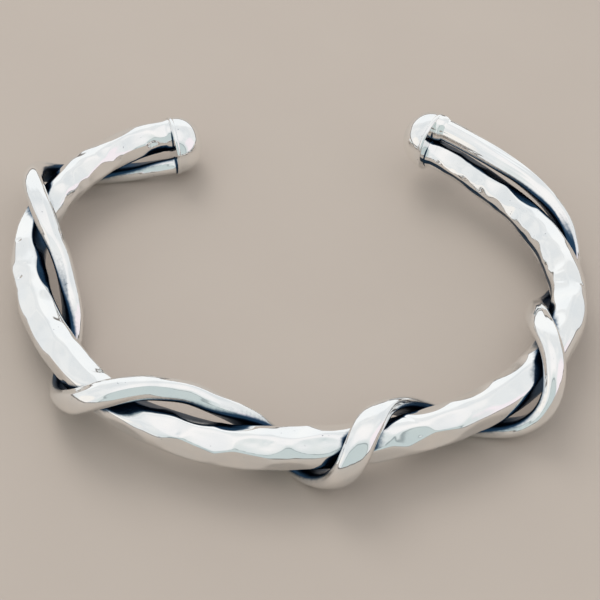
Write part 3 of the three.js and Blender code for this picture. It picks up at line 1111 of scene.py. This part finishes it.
bpy.ops.object.select_all(action="DESELECT")
bpy.ops.mesh.primitive_plane_add(size=TABLE_SIZE, location=(0, 0, -TABLE_DROP))
floor = bpy.context.object
floor.name = "table"
table = Finish("pale_table")
table_place = table.add("ShaderNodeTexCoord", output="Object")
table_grain = table.noise(table_place, scale=60.0, detail=4.0)
table_colour = table.mix(table_grain, TABLE_WARM, TABLE_PALE)
table.set(Base_Color=table_colour, Roughness=0.6)
floor.data.materials.append(table.material)
bpy.ops.object.transform_apply(location=True, rotation=True, scale=True)
print("the table's top lies at, mm:", round(floor.location.z / MM + points_of(floor)[0][2] / MM, 3))

# %% The white tent
TENT = (0.80, 0.825, 0.84, 1)
TENT_FOLDS = (0.87, 0.885, 0.89, 1)
TENT_BACK = (0.97, 0.99, 1.00, 1)
TENT_TOP = (0.97, 0.96, 0.96, 1)
TENT_RIGHT = (0.96, 0.89, 0.93, 1)
TENT_LEFT = (0.98, 0.95, 0.91, 1)
TENT_FRONT = (0.72, 0.775, 0.775, 1)
TENT_OPENING = (0.34, 0.39, 0.40, 1)
ONLOOKER = (0.58, 0.655, 0.655, 1)
TENT_HEM = (0.20, 0.18, 0.165, 1)
FOLD_EDGES = (0.38, 0.62)  # the values of noise between which the cloth turns to the colour of its folds

# Bearing and rise of the middle of each part of the tent, the half angles of the cone at which it begins
# and is full, and its colour. Later parts hang in front of earlier ones.
TENT_PARTS = (
    (183, 6, 47, 38, TENT_BACK),
    (0, 80, 40, 14, TENT_TOP),
    (70, 12, 34, 25, TENT_RIGHT),
    (-70, 14, 18, 11, TENT_LEFT),
    (4, 16, 54, 40, TENT_FRONT),
    (4, 16, 41, 39.5, TENT_OPENING),
    (4, 16, 38.8, 36.5, ONLOOKER),
    (0, -90, 94.4, 92, TENT_HEM),
)

world = bpy.data.worlds.new("white_tent")
bpy.context.scene.world = world
world.use_nodes = True
tent = Network(world.node_tree)
look = tent.add("ShaderNodeTexCoord", output="Generated")


def within(bearing, rise, wide, narrow):
    """Is 1 inside a cone of half angle narrow, round a bearing and a rise, and 0 outside wide."""
    flat = math.cos(math.radians(rise))
    middle = (
        flat * math.sin(math.radians(bearing)),
        -flat * math.cos(math.radians(bearing)),
        math.sin(math.radians(rise)),
    )
    closeness = tent.add(
        "ShaderNodeVectorMath", {"operation": "DOT_PRODUCT"}, {0: look, 1: middle}, output="Value"
    )
    return tent.ramp(closeness, math.cos(math.radians(wide)), math.cos(math.radians(narrow)))


folds = tent.noise(look, scale=3.0, detail=2.0)
light = tent.mix(tent.ramp(folds, *FOLD_EDGES), TENT, TENT_FOLDS)
for bearing, rise, wide, narrow, colour in TENT_PARTS:
    light = tent.mix(within(bearing, rise, wide, narrow), light, colour)
tent.feed(world.node_tree.nodes["Background"].inputs["Color"], light)
bpy.context.scene.view_settings.view_transform = "Standard"
print("parts of the tent:", len(TENT_PARTS))

# %% A lamp behind the tent
LAMP_PLACE = (-0.25, 0.75, 0.95)
LAMP_SIZE = 0.7
LAMP_POWER = 4.0  # watts, enough for a soft shadow
LAMP_COLOUR = (1.0, 0.985, 0.96)

bpy.ops.object.select_all(action="DESELECT")
bpy.ops.object.light_add(type="AREA", location=LAMP_PLACE)
lamp = bpy.context.object
lamp.name = "lamp_behind"
lamp.data.shape = "DISK"
lamp.data.size = LAMP_SIZE
lamp.data.energy = LAMP_POWER
lamp.data.color = LAMP_COLOUR
lamp.rotation_euler = lamp.location.to_track_quat("Z", "Y").to_euler()
lamp.visible_glossy = False  # the tent hides it
print("lamp at, m:", tuple(lamp.location))

# %% [markdown]
# ## Hand over
#
# Each piece stands for one node of the imported model, rides on the same body and takes its slot.

# %% Tie the pieces to the imported model
for piece, node, slot in (
    (bar, "hammered_bar", "hammered_silver"),
    (wire, "wrap_wire", "polished_wire"),
    (left_cap, "end_cap_left", "polished_cap"),
    (right_cap, "end_cap_right", "polished_cap"),
):
    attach(piece, "root")
    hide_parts(node)
